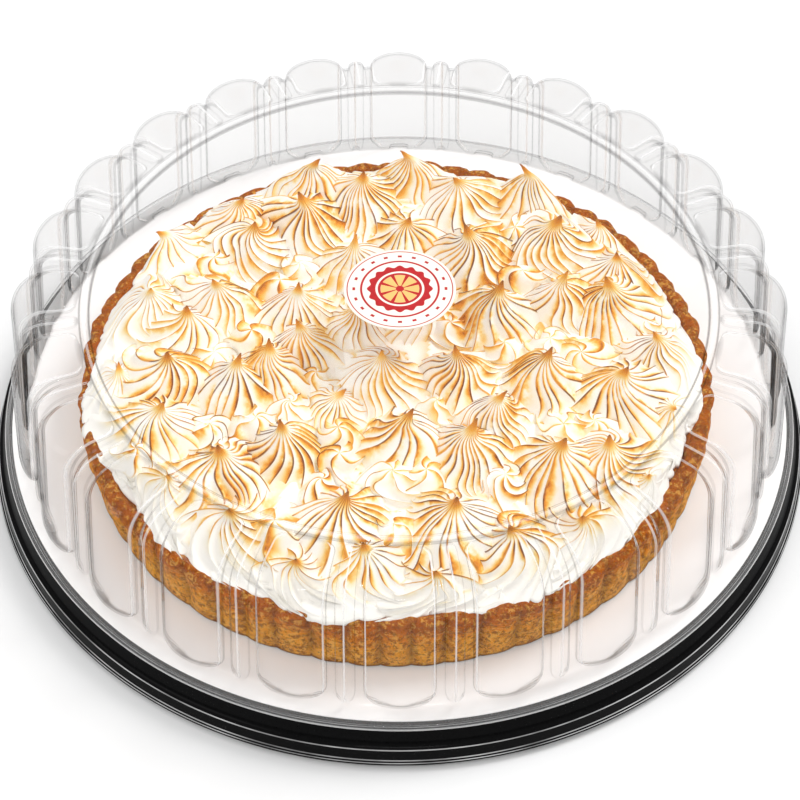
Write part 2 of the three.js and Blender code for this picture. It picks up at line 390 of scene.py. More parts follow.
def baked_crust():
    m = Nodes("baked_crust")
    place = m.position()
    height = m.add("SeparateXYZ", {0: place}).outputs["Z"]
    up = m.minus(m.times(height, 1 / MM), PIE_BASE_Z)
    wander = m.times(m.minus(m.noise(90.0, 3.0), 0.5), 9.0)
    level = m.plus(up, wander)
    side = m.ramp(m.math("DIVIDE", level, CRUST_HEIGHT), [
        (0.00, (0.620, 0.250, 0.018)),
        (0.12, (0.950, 0.420, 0.040)),
        (0.50, (0.940, 0.380, 0.024)),
        (0.68, (0.880, 0.280, 0.010)),
        (0.84, (0.660, 0.165, 0.004)),
        (1.00, (0.420, 0.090, 0.003)),
    ])
    blotch = m.smooth(m.noise(170.0, 5.0, 0.7), 0.46, 0.60)
    browned = m.blend(m.times(blotch, 0.45), side, (0.440, 0.120, 0.006))
    pale = m.smooth(m.noise(480.0, 4.0, 0.75), 0.50, 0.60)
    crumbly = m.blend(m.times(pale, 0.55), browned, (0.98, 0.56, 0.110))
    pits = m.smooth(m.noise(560.0, 4.0, 0.75), 0.50, 0.58)
    shade = m.blend(m.times(pits, 0.7), crumbly, (0.240, 0.060, 0.004))
    shade = m.blend(m.attribute("shadow"), shade, (0.075, 0.022, 0.004))
    coarse = m.noise(230.0, 6.0, 0.68)
    fine = m.noise(1100.0, 3.0, 0.6)
    relief = m.plus(coarse, m.times(fine, 0.35))
    sheen = m.smooth(m.noise(330.0, 2.0), 0.45, 0.7)
    shader = m.add("BsdfPrincipled", {
        "Base Color": shade, "Roughness": m.minus(0.68, m.times(sheen, 0.22)),
        "Specular IOR Level": 0.08, "Normal": m.bump(relief, 0.0024, 1.0),
    })
    return m.surface(shader.outputs[0])


def toasted_meringue():
    m = Nodes("toasted_meringue")
    edge = m.attribute("edge")
    flank = m.attribute("flank")
    toast = m.attribute("toast")
    tip = m.attribute("tip")
    patches = m.noise(130.0, 3.0, 0.55)
    fine = m.noise(520.0, 3.0, 0.6)
    broad = m.smooth(m.noise(70.0, 2.0), 0.35, 0.65)
    heat = m.times(toast, m.smooth(patches, 0.28, 0.62))
    fading = m.plus(1.7, m.times(broad, 2.2))
    glow = m.times(heat, m.math("POWER", flank, fading))
    speckle = m.plus(0.82, m.times(fine, 0.36))
    glow = m.times(glow, speckle)
    drawn = m.times(m.smooth(tip, 0.04, 0.75), 0.82)
    glow = m.math("MAXIMUM", glow, drawn)
    shade = m.ramp(glow, [
        (0.00, (0.975, 0.950, 0.895)),
        (0.10, (0.970, 0.885, 0.700)),
        (0.26, (0.945, 0.690, 0.280)),
        (0.46, (0.890, 0.440, 0.060)),
        (0.72, (0.720, 0.250, 0.020)),
        (0.98, (0.440, 0.120, 0.010)),
    ])
    width = m.plus(0.24, m.times(toast, 0.20))
    line = m.minus(1.0, m.smooth(edge, 0.10, width), clamp=True)
    broken = m.smooth(m.noise(170.0, 2.0), 0.20, 0.45)
    strength = m.times(m.smooth(toast, 0.10, 0.55), broken)
    line = m.times(line, strength)
    scorched = m.times(toast, m.smooth(m.noise(95.0, 2.0), 0.38, 0.62))
    line_shade = m.ramp(scorched, [
        (0.15, (0.76, 0.34, 0.040)), (0.50, (0.48, 0.150, 0.010)), (0.85, (0.17, 0.044, 0.005)),
    ])
    shade = m.blend(m.times(line, 0.92), shade, line_shade)
    shade = m.blend(m.smooth(tip, 0.60, 1.0), shade, (0.130, 0.034, 0.005))
    grain = m.plus(m.noise(1600.0, 2.0), m.times(m.noise(420.0, 2.0), 0.8))
    shader = m.add("BsdfPrincipled", {
        "Base Color": shade, "Roughness": 0.5, "Specular IOR Level": 0.3,
        "Normal": m.bump(grain, 0.00012, 0.35),
    })
    return m.surface(shader.outputs[0])


def clear_plastic():
    m = Nodes("clear_plastic")
    facing = m.add("LayerWeight", {"Blend": 0.5}).outputs["Facing"]
    calm = m.minus(1.0, m.attribute("calm"))
    glancing = m.times(m.math("POWER", facing, 9.0), calm)
    # Painted shade: the dark values grey what shows through the sheet, in lines along the lobes, ribs and
    # bead and a light veil over the wall.
    painted_dark_lines = m.attribute("dark")
    gloss = m.plus(0.013, m.times(glancing, 0.85))
    dim = m.ramp(glancing, [
        (0.00, (0.990, 0.989, 0.988)), (0.30, (0.76, 0.76, 0.765)), (1.00, (0.36, 0.36, 0.38)),
    ])
    dim = m.blend(painted_dark_lines, dim, (0.63, 0.625, 0.625))
    through = m.add("BsdfTransparent", {"Color": dim})
    ripple = m.noise(26.0, 2.0)
    mirror = m.add("BsdfGlossy", {
        "Color": colour(0.97), "Roughness": 0.05, "Normal": m.bump(ripple, 0.0006, 0.6),
    })
    body = m.add("MixShader", {0: gloss, 1: through.outputs[0], 2: mirror.outputs[0]})
    # Painted highlights: white diffuse mixed in where the lit values say, for bright lines on the lobes
    # and bead, the lip's bright line and the flange's grey sheen.
    glint = m.times(m.smooth(m.attribute("lit"), 0.45, 1.0), 0.42)
    painted_glints = m.add("BsdfDiffuse", {"Color": colour(0.95)})
    whole = m.add("MixShader", {0: glint, 1: body.outputs[0], 2: painted_glints.outputs[0]})
    return m.surface(whole.outputs[0])


def printed_label():
    m = Nodes("printed_label")
    place = m.position()
    moved = m.add("VectorMath", {0: place, 1: tuple(-LABEL_CENTRE * MM)}, operation="ADD").outputs[0]
    parts = m.add("SeparateXYZ", {0: moved})
    x, y = parts.outputs["X"], parts.outputs["Y"]
    square = m.plus(m.times(x, x), m.times(y, y))
    radius = m.times(m.math("SQRT", square), 1 / MM)
    angle = m.math("ARCTAN2", y, x)

    def band(value, low, high, soft=0.12):
        inside = m.smooth(value, low - soft, low + soft)
        outside = m.smooth(value, high - soft, high + soft)
        return m.minus(inside, outside, clamp=True)

    def either(*values):
        total = values[0]
        for value in values[1:]:
            total = m.math("MAXIMUM", total, value)
        return total

    def repeated(count):
        return m.math("COSINE", m.times(angle, float(count)))

    scallop = m.minus(radius, m.times(repeated(16), 0.55))
    medallion = band(scallop, -1.0, 11.2)
    slices = m.math("GREATER_THAN", repeated(8), -0.72)
    pulp = m.times(band(radius, 1.5, 6.9), slices)
    peel = band(radius, 7.9, 8.7)
    paper_parts = either(pulp, peel)
    outer_ring = band(radius, 18.6, 19.0)
    inner_ring = band(radius, 13.4, 14.2)
    beads = m.times(band(radius, 15.9, 16.9), m.math("GREATER_THAN", repeated(20), 0.62))
    red = either(medallion, outer_ring, inner_ring, beads)
    red = m.minus(red, paper_parts, clamp=True)
    ink = m.noise(700.0, 2.0)
    red_ink = m.ramp(ink, [(0.3, (0.42, 0.004, 0.008)), (0.7, (0.50, 0.008, 0.012))])
    paper = m.ramp(m.noise(500.0, 2.0), [(0.3, (0.86, 0.80, 0.70)), (0.7, (0.92, 0.87, 0.78))])
    gold = m.blend(pulp, paper, (0.85, 0.50, 0.16))
    shade = m.blend(red, gold, red_ink)
    shader = m.add("BsdfPrincipled", {
        "Base Color": shade, "Roughness": 0.38, "Specular IOR Level": 0.4,
        "Normal": m.bump(m.noise(900.0, 2.0), 0.00002, 0.3),
    })
    return m.surface(shader.outputs[0])


# ---- Tray and board ----------------------------------------------------------------------------

TRAY_WALL = 1.2
TRAY_FLOOR = BOARD_TOP - BOARD_THICK - GAP
LEDGE_Z = TRAY_HEIGHT - 0.5
HUB = 6.0           # flat pieces have a small fan of faces in the middle, out to this radius
ROUND_SIDES = 256

# Corners of the tray's outside: radius beyond the ledge's inner edge, height and rounding.
TRAY_OUTSIDE = [
    (-0.2, TRAY_FLOOR, 0.4), (0.0, LEDGE_Z, 0.1),     # floor and the ledge's inner side
    (0.7, LEDGE_Z, 0.1), (3.6, 9.6, 1.6),             # ledge, hardly more than an edge, and slope
    (5.4, 8.8, 0.3), (6.2, 4.0, 0.3),                 # step and second slope
    (7.1, 3.6, 0.25), (7.3, 2.6, 0.2),                # flange, where the tray is widest
    (5.9, 2.1, 0.6), (5.3, 0.0, 0),                   # foot, set back under the flange
]
TRAY_INSIDE = [
    (4.4, 0.0, 0), (4.2, 7.4, 0.6), (2.4, 8.2, 0.6),
    (1.0, TRAY_FLOOR - TRAY_WALL + 0.8, 0.3), (0.4, TRAY_FLOOR - TRAY_WALL, 0.2),
]


def beyond_ledge(corners):
    return [(LEDGE_INNER + out, z, rounding) for out, z, rounding in corners]


def build_tray():
    """Thermoformed sheet: a raised floor, a narrow ledge, two steps down and a short foot."""
    outside = rounded([(HUB, TRAY_FLOOR, 0)] + beyond_ledge(TRAY_OUTSIDE))
    inside = rounded(beyond_ledge(TRAY_INSIDE) + [(HUB, TRAY_FLOOR - TRAY_WALL, 0)])
    line = np.concatenate([outside, inside])
    points, faces = closed_lathe(lathe_points(line, ROUND_SIDES))
    # The crease values mark the bends, where the material paints its highlight lines.
    crease = np.repeat(creases(line), ROUND_SIDES)
    return new_piece("tray_black", points, faces, {"crease": np.concatenate([crease, [0.0, 0.0]])})


def build_board():
    """The board lies pushed a little to the back, where its thin rim reaches over the tray's ledge."""
    low = BOARD_TOP - BOARD_THICK
    rim = BOARD_TOP - BOARD_RIM_THICK
    narrow = BOARD_RADIUS - BOARD_SHIFT[1]
    line = rounded([
        (HUB, low, 0), (narrow, low, 0.3), (narrow, rim, 0.1),
        (BOARD_RADIUS, rim, 0.1), (BOARD_RADIUS, BOARD_TOP, 0.15), (HUB, BOARD_TOP, 0),
    ])
    points, faces = closed_lathe(lathe_points(line, ROUND_SIDES))
    return new_piece("board_white", points + BOARD_SHIFT, faces)


# ---- Crust -------------------------------------------------------------------------------------
CRUST_SIDES = FLUTES * 16
CRUST_HUB = 8.0
SIDE_ROWS = 18
RIM_ROWS = 10
RIM_ROUND = 2.8         # width of the rim's rounding
RIM_ROUND_HIGH = 2.5    # and its height
FLUTE_OUT = 3.0         # how far a flute's crest stands out from the groove beside it
CRUST_LUMPS = [(1.1, 14.0, 11), (0.6, 4.0, 12), (0.28, 1.6, 13)]    # height, size and seed
RIM_LUMPS = [(1.1, 12.0, 14), (0.45, 3.5, 15)]


def lumps(points, layers):
    return sum(height * value_noise(points, size, seed) for height, size, seed in layers)


def crust_profile():
    """Radius, height, share of the flutes and share of the lumps, from the foot over the rim."""
    inside = PIE_RIM_RADIUS - RIM_WIDTH
    flare = PIE_RIM_RADIUS - PIE_BASE_RADIUS
    profile = [(CRUST_HUB, PIE_BASE_Z, 0, 0), (PIE_BASE_RADIUS - 3, PIE_BASE_Z, 0.3, 0)]
    for t in np.linspace(0.0, 1.0, SIDE_ROWS):
        radius = PIE_BASE_RADIUS + flare * t ** 1.2
        height = PIE_BASE_Z + 0.4 + (CRUST_HEIGHT - 3.2) * t
        fluted = 0.15 + 0.75 * math.sin(math.pi * min(1.0, 0.05 + 0.75 * t))
        profile.append((radius, height, fluted, min(1.0, 0.2 + 2 * t)))
    for t in np.linspace(0.12, 1.0, RIM_ROWS):
        turn = t * math.pi * 0.95
        radius = PIE_RIM_RADIUS - RIM_ROUND + RIM_ROUND * math.cos(turn)
        height = RIM_Z - RIM_ROUND_HIGH + RIM_ROUND_HIGH * math.sin(turn)
        profile.append((radius, height, 0.75 - 0.6 * t, 1.0))
    profile += [(inside + 1.2, RIM_Z - 1.4, 0.1, 0.7), (inside, FILL_Z, 0, 0.2)]
    return np.array(profile + [(CRUST_HUB, FILL_Z, 0, 0)])


def build_crust():
    """The fluted shell with its hidden filling, lumpy and crumbly where it shows."""
    profile = crust_profile()
    fluted, lumpy = profile[:, 2][:, None], profile[:, 3][:, None]
    azimuth = np.linspace(0.0, 2 * math.pi, CRUST_SIDES, endpoint=False)
    wave = 0.5 * (FLUTES * azimuth + 0.5 * np.sin(5 * azimuth) + 0.4 * np.sin(13 * azimuth))
    crest = np.abs(np.cos(wave))[None, :]
    rows = lathe_points(profile[:, :2], CRUST_SIDES)
    direction = np.stack([np.sin(azimuth), -np.cos(azimuth)], axis=-1)
    out = FLUTE_OUT * (crest ** 0.6 - 0.72) * fluted + lumps(rows, CRUST_LUMPS) * lumpy
    rows[..., :2] += direction[None, :, :] * out[..., None]
    top = np.clip((rows[..., 2] - PIE_BASE_Z - 12) / 10, 0, 1)
    rows[..., 2] += (lumps(rows, RIM_LUMPS) - 0.2) * lumpy * top
    rows[..., 2] = np.maximum(rows[..., 2], PIE_BASE_Z)

    # The grooves, the foot and the rim's inner side lie in shade.
    groove = np.clip(1 - crest / 0.65, 0, 1) * np.clip(fluted * 1.4, 0, 1)
    foot = np.clip(1 - (rows[..., 2] - PIE_BASE_Z) / 1.6, 0, 1) * 0.8
    inner = np.clip((PIE_RIM_RADIUS - 6.2 - profile[:, 0]) * 2, 0, 1)[:, None]
    shadow = np.maximum(np.maximum(groove * 0.42, foot), inner * 0.9)
    points, faces = closed_lathe(rows)
    shadow = np.concatenate([shadow.ravel(), [0.0, 0.0]])
    return new_piece("crust_fluted", points + PIE_CENTRE, faces, {"shadow": shadow})


# ---- Meringue ----------------------------------------------------------------------------------
MERINGUE_LOW = RIM_Z + 0.1      # foot of every dollop
MERINGUE_FOOT = FILL_Z + 0.4    # hidden underside of dollops and bed, inside the crust's rim
DOLLOP_ROWS = 36
SMALL_FOLDS = 30
DOLLOP_SEED = 400               # the first dollop's, the next one's is one more
FOLD_SEED = 900
FOLD_PLACES_SEED = 77
FOLD_PLACES = 100.0             # small folds keep within this distance from the middle,
FOLD_OFF_TIP = 14.5             # this far from a dollop's tip
FOLD_OFF_FOLD = 11.0            # and this far from each other
GIVE_UP = 0.002                 # chance to stop after a place that is taken
GROUP_SIZE = 9                  # dollops to a piece
BED_RADIUS = 105.5
BED_RINGS = 70
BED_SIDES = 360
BED_STRIPE = 7.5                # width of the bed's loose waves
RIDGE_STEPS = np.array([0.0, 0.10, 0.28, 0.50, 0.72, 0.90])    # mesh columns across each ridge
INNER_SCALE = 0.92              # width of a dressed dollop, as a share of its solid's, inside the pie
EDGE_SCALE = 1.34               # and towards the pie's edge
TIP_RISE = 2.6                  # how much further their thin tips are drawn up
RIDGE_RELIEF = 0.26             # usual depth of the furrows between ridges, as a share of their width
SLOPE_STEP = 0.01               # a dollop's slope is taken over this share of its radius


def reach(x, y, dx, dy, spread):
    """How far a dollop spreads in each direction, as a share of its usual radius."""
    along = x * dx + y * dy
    bearing = np.arctan2(y + 30 * dy, x + 30 * dx)
    limit = MERINGUE_REACH - 1.0 + 1.6 * np.sin(6 * bearing + 1.0) + 1.4 * np.sin(11 * bearing + 2.0)
    room = np.sqrt(along ** 2 + limit ** 2 - x * x - y * y) - along
    share = np.clip(room / spread, 0.2, 1.3)
    distance = math.hypot(x, y)
    outward = np.zeros_like(dx) if distance < 60 else np.maximum(0, along / distance) ** 1.5
    return np.where(share > 1, 1 + (share - 1) * outward, share)


def spread_scale(x, y, dx, dy, style):
    """Dollops near the pie's edge flow out towards it, the rest stay steep."""
    distance = math.hypot(x, y)
    outward = np.clip((x * dx + y * dy) / max(distance, 1.0), 0, 1) * np.clip((distance - 60) / 25, 0, 1)
    return style.get("scale", INNER_SCALE) + (EDGE_SCALE - INNER_SCALE) * outward


def dollop_height(rho, peak):
    """Height of a dollop at a share rho of its radius: drawn-up tip, flare, round belly."""
    neck = np.exp(-rho / 0.055)
    cone = np.clip(1.0 - rho, 0, 1) ** 1.3
    belly = np.clip(1.0 - rho ** 2, 0, 1) ** 1.2
    return peak * (0.31 * neck + 0.28 * cone) + (1.0 - 0.59 * peak) * belly


def dollop_style(number, rng):
    """A dollop's look: drawn at random, then set apart where STYLES says so."""
    style = dict(
        ridges=int(rng.integers(15, 22)), twist=rng.uniform(-0.7, 0.7), wave=rng.uniform(0.08, 0.21),
        hook=rng.uniform(1.5, 4.5), aim=rng.uniform(0, 360), toast=rng.uniform(0.75, 1.05),
        flank=1 if rng.random() < 0.5 else -1, peak=1.0,
    )
    style.update(STYLES.get(number, {}))
    return style


def small_folds():
    """Places for the low, twisted folds that fill the gaps between the dollops."""
    rng = np.random.default_rng(FOLD_PLACES_SEED)
    taken = [(x, y, FOLD_OFF_TIP) for x, y, _, _ in DOLLOPS]
    folds = []
    while len(folds) < SMALL_FOLDS:
        x, y = rng.uniform(-FOLD_PLACES, FOLD_PLACES, 2)
        clear = all(math.hypot(x - a, y - b) > room for a, b, room in taken)
        if clear and math.hypot(x, y) < FOLD_PLACES:
            taken.append((x, y, FOLD_OFF_FOLD))
            folds.append((x, y, rng.uniform(6, 10), rng.uniform(13, 18)))
        elif rng.random() < GIVE_UP:
            break
    return folds


def fold_style(rng):
    return dict(ridges=int(rng.integers(4, 8)), twist=rng.choice([-1, 1]) * rng.uniform(1.2, 3.2),
                wave=rng.uniform(0.2, 0.5), hook=0.0, aim=0.0,
                toast=rng.uniform(0.7, 1.3), flank=rng.choice([-1, 1]), peak=0.08)


def ridge_columns(style, rng):
    """Bearing, place across its ridge, ridge's width and ridge's depth for each mesh column."""
    ridges, steps = style["ridges"], len(RIDGE_STEPS)
    crests = (np.arange(ridges) + rng.uniform(-0.28, 0.28, ridges)) / ridges * 2 * math.pi
    widths = np.diff(np.concatenate([crests, [crests[0] + 2 * math.pi]]))
    bearing = (crests[:, None] + widths[:, None] * RIDGE_STEPS[None, :]).ravel()
    depth = np.repeat(rng.uniform(0.6, 1.3, ridges), steps)
    return bearing, np.tile(RIDGE_STEPS, ridges), np.repeat(widths, steps), depth


def ridge_bend(phi, rho, style, rng):
    """How far the ridges have turned, waved and curled at a share rho of the way down."""
    sway = 0.5 * np.sin(2 * phi + rng.uniform(0, 6.3)) + 0.5 * np.sin(3 * phi + rng.uniform(0, 6.3))
    waves = np.sin(rho * rng.uniform(6, 10) + rng.uniform(0, 6.3))
    bend = style["twist"] * rho ** 1.4
    bend = bend + style["wave"] * (1 + 0.5 * sway) * waves * rho ** 0.5
    return bend + 0.45 * sway * rho ** 2


def toasting(points, strength):
    """How toasted each point is: the high ground most, the skirt at the front hardly."""
    distance = np.hypot(points[..., 0], points[..., 1])
    behind = np.clip(points[..., 1] / 60, 0, 1)
    heat = np.clip((points[..., 2] - RIM_Z - 1.0 + 3.0 * behind) / 7.0, 0, 1)
    heat = heat * (0.84 + 0.45 * value_noise(points, 15.0, 31) - 0.12 * behind)
    skirt = np.clip((107 - distance) / 10, 0, 1)
    front = np.clip(-points[..., 1] / 60, 0, 1)
    heat = heat * (1 - (1 - skirt) * (0.25 + 0.75 * front))
    return np.clip(strength * heat * 1.3, 0, 1.25)


def capped(rows, bottom, top):
    """Points and faces of rows of points on a flat foot, with a point below and one on top."""
    foot = rows[:1].copy()
    foot[..., 2] = bottom[2]
    return closed(np.concatenate([foot, rows]), bottom, top)


def capped_values(values, bottom, top):
    """Values for the same points, the foot's equal to the lowest row's."""
    return np.concatenate([values[0], values.ravel(), [bottom, top]])


def build_dollop(place, style, rng):
    """Points, faces and shading values of one piped dollop."""
    x, y, rise, spread = place
    peak, hook = style["peak"], style["hook"]
    phi, across, width, depth = ridge_columns(style, rng)
    rho = np.linspace(1.0, 0.0, DOLLOP_ROWS) ** 1.15
    rho = rho[:-1][:, None]
    alpha = phi[None, :] + ridge_bend(phi, rho, style, rng)
    dx, dy = np.cos(alpha), np.sin(alpha)
    wide = spread * (1 + 0.10 * np.sin(3 * alpha + rng.uniform(0, 6.3)))
    wide = wide * spread_scale(x, y, dx, dy, style)
    radius = wide * reach(x, y, dx, dy, wide)
    near_edge = np.clip((np.hypot(x + radius * dx, y + radius * dy) - 100) / 10, 0, 1)
    valley = np.sin(math.pi * across) ** 0.8
    radius = radius * (1 + near_edge * (0.08 * depth * valley - 0.04)[None, :])

    # The ridges stand off the dollop's smooth form, square to its slope.
    height = rise + TIP_RISE * peak + RIM_Z - MERINGUE_LOW
    low, high = np.maximum(rho - SLOPE_STEP, 0), rho + SLOPE_STEP
    fall = (dollop_height(high, peak) - dollop_height(low, peak)) / (high - low) * height / radius
    length = np.sqrt(1 + fall ** 2)
    pitch = radius * rho * width[None, :]
    relief = style.get("relief", RIDGE_RELIEF) * depth[None, :] * valley[None, :] * pitch
    relief *= np.clip(rho / (0.05 + 0.35 * (1 - peak)), 0, 1) * np.clip((1.04 - rho) / 0.25, 0.4, 1)
    r = radius * rho + relief * fall / length
    z = MERINGUE_LOW + height * dollop_height(rho, peak) - relief / length
    r = np.maximum(r, 0.25 * radius * rho)

    # The tip is drawn aside and droops.
    up = np.clip(1 - rho / 0.16, 0, 1) ** 1.6
    aim = math.radians(style["aim"])
    hook_x = hook * up * math.cos(aim)
    hook_y = hook * up * math.sin(aim)
    droop = 0.42 * hook * np.clip(1 - rho / 0.035, 0, 1) ** 1.5
    points = np.stack([x + r * dx + hook_x, y + r * dy + hook_y, z - droop], axis=-1)
    points[..., 2] += 0.7 * value_noise(points, 9.0, 21) * np.clip(rho * 3, 0, 1)
    points[..., 2] = np.maximum(points[..., 2], MERINGUE_FOOT)
    top = [x + hook_x[-1, 0] * 1.12, y + hook_y[-1, 0] * 1.12, points[-1, :, 2].mean() + 0.4 - 0.1 * hook]

    # What the material reads: distance from a crest, side of the ridge, toasting and burnt tip.
    edge = np.minimum(across, 1 - across)[None, :] * pitch
    edge = edge + 0.32 * np.clip((1.9 - pitch) / 1.2, 0, 1)
    edge = edge + 0.5 * (1 - peak) * np.clip(1.0 - rho / 0.40, 0, 1)
    saw = 1 - across if style["flank"] > 0 else np.where(across > 0, across, 1.0)
    flank = np.repeat(saw[None, :], len(rho), axis=0)
    tip = np.exp(-rho / 0.085) * np.ones_like(edge) * min(1.0, style["toast"]) * peak
    shading = {
        "edge": capped_values(edge, 0.0, 0.0), "flank": capped_values(flank, 0.0, 1.0),
        "toast": capped_values(toasting(points, style["toast"]), 0.0, 1.0),
        "tip": capped_values(tip, 0.0, peak),
    }
    return *capped(points, [x, y, MERINGUE_FOOT], top), shading


def build_bed():
    """The low layer of meringue that shows between dollops, in loose waves."""
    azimuth = np.linspace(0.0, 2 * math.pi, BED_SIDES, endpoint=False)
    radius = np.linspace(BED_RADIUS, 1.5, BED_RINGS)[:, None]
    rows = np.stack([radius * np.sin(azimuth), -radius * np.cos(azimuth),
                     np.zeros((BED_RINGS, BED_SIDES))], axis=-1)
    drift = lumps(rows, [(3.2, 26.0, 41), (0.4, 10.0, 42)])
    stripes = rows[..., 1] / BED_STRIPE * 0.8 + drift
    t = stripes - np.floor(stripes)
    swell = np.clip((BED_RADIUS - radius) / 9.0, 0, 1) ** 0.6
    rows[..., 2] = RIM_Z + 0.2 + swell * (3.2 + 1.3 * value_noise(rows, 13.0, 43)) \
        - 1.3 * np.sin(math.pi * t) ** 0.85 * swell
    edge = np.minimum(t, 1 - t) * BED_STRIPE
    toast = np.clip(0.5 + 0.5 * value_noise(rows, 12.0, 44), 0, 1) * swell
    points, faces = capped(rows, [0, 0, MERINGUE_FOOT], [0, 0, RIM_Z + 3.0])
    shading = {
        "edge": capped_values(edge, 0.0, 0.5), "flank": capped_values(1 - t, 0.0, 0.5),
        "toast": capped_values(toast, 0.0, 0.5), "tip": np.zeros(len(points)),
    }
    return points, faces, shading


def join(parts):
    """One set of points, faces and shading values from several."""
    points, quads, triangles, shading = [], [], [], {}
    count = 0
    for part_points, part_faces, part_shading in parts:
        points.append(part_points)
        for faces in part_faces:
            (quads if faces.shape[1] == 4 else triangles).append(faces + count)
        for key, values in part_shading.items():
            shading.setdefault(key, []).append(values)
        count += len(part_points)
    return (np.concatenate(points), [np.concatenate(quads), np.concatenate(triangles)],
            {key: np.concatenate(values) for key, values in shading.items()})


def moved(points, faces, shading):
    return points + MERINGUE_CENTRE, faces, shading


def build_meringue(material):
    pieces = [new_piece("meringue_bed", *moved(*build_bed()))]
    dollops = []
    for number, place in enumerate(DOLLOPS):
        rng = np.random.default_rng(DOLLOP_SEED + number)
        dollops.append(build_dollop(place, dollop_style(number, rng), rng))
    for number, first in enumerate(range(0, len(dollops), GROUP_SIZE), 1):
        group = moved(*join(dollops[first:first + GROUP_SIZE]))
        pieces.append(new_piece(f"meringue_dollops_{number}", *group))
    rng = np.random.default_rng(FOLD_SEED)
    folds = join([build_dollop(place, fold_style(rng), rng) for place in small_folds()])
    pieces.append(new_piece("meringue_folds", *moved(*folds)))
    for piece in pieces:
        finish_piece(piece, material, "meringue")


# ---- Dome --------------------------------------------------------------------------------------
LOBE_HALF = 4.95    # half the width of a wide lobe, in degrees
RIB_HALF = 1.35     # half the width of a narrow rib, in degrees
RIB_SHARE = 0.44    # how far a rib stands out, as a share of a lobe
LOBE_TURN = np.linspace(-math.pi / 2, math.pi / 2, 19)    # mesh columns over a lobe
RIB_TURN = np.linspace(-math.pi / 2, math.pi / 2, 13)     # and over a rib
GAP_COLUMNS = np.array([0.06, 0.35, 0.65, 0.94])          # and between them, as shares of the gap
WALL_TINT = 0.07    # the thin wall greys what is behind it a little more than the flat plate does
FINE_STEP = 0.3     # spacing of rows where lines on the bead and the lip have to stay sharp

# The wall's line in the valleys and over the lobes' crests.
VALLEY = dict(start=(113.7, 72.0), top=71.4, turn=12.0, reach_out=134.0, foot=(138.3, 17.8))
CREST = dict(start=(113.9, 72.1), top=DOME_TOP, turn=9.0, reach_out=139.0, foot=(142.6, 17.9))

# Over one lobe, gap, rib and gap: painted dark lines along the sheet's edges, and painted glints where it
# catches the light.
EDGE_LINES = np.array([0.75] + [0.0] * 17 + [0.75] + [0.1, 0, 0, 0.1]
                      + [0.5] + [0.0] * 11 + [0.5] + [0.1, 0, 0, 0.1])
EDGE_GLINTS = np.array([0, 0.2, 1.0] + [0.0] * 13 + [1.0, 0.2, 0] + [0.0] * 4
                       + [0.0] * 6 + [1.0] + [0.0] * 6 + [0.0] * 4)


def wall_line(start, top, turn, reach_out, foot):
    """A wall's line from the top ring down: nearly flat, round a shoulder, down, in at the foot."""
    start, foot = np.array(start), np.array(foot)
    shoulder = np.array([reach_out - turn, top])
    bulge = 0.5 * (top - start[1])
    flat = [start * (1 - t) + shoulder * t + np.array([0.0, bulge * math.sin(math.pi * t)])
            for t in np.linspace(0, 1, 8)]
    centre = shoulder - np.array([0.0, turn])
    arc = [centre + turn * np.array([math.sin(a), math.cos(a)])
           for a in np.radians(np.linspace(0, 87, 13))[1:]]
    knee = foot + np.array([0.0, 3.2])
    wall = [arc[-1] * (1 - t) + knee * t for t in 1 - (1 - np.linspace(0, 1, 16)[1:]) ** 1.7]
    inwards = [knee * (1 - t) + foot * t + np.array([0.9 * (1 - math.sqrt(1 - t * t)) - 0.9 * t, 0.0])
               for t in np.linspace(0, 1, 6)[1:]]
    return np.array(flat + arc + wall + inwards)


def lobe_columns(taper):
    """Degrees and share of the relief for the columns over one lobe, gap, rib and gap."""
    pitch = 360.0 / LOBES
    wide = LOBE_HALF * (0.25 + 0.75 * taper)
    narrow = RIB_HALF * (0.35 + 0.65 * taper)
    gap = wide + (pitch / 2 - narrow - wide) * GAP_COLUMNS
    rib = pitch / 2 + narrow * np.sin(RIB_TURN)
    offsets = np.concatenate([wide * np.sin(LOBE_TURN), gap, rib, pitch - gap[::-1]])
    flat = np.zeros(len(gap))
    lobe_share = np.cos(LOBE_TURN) * taper ** 0.6
    rib_share = RIB_SHARE * np.cos(RIB_TURN) ** 0.85 * taper ** 0.6
    return offsets, np.concatenate([lobe_share, flat, rib_share, flat])


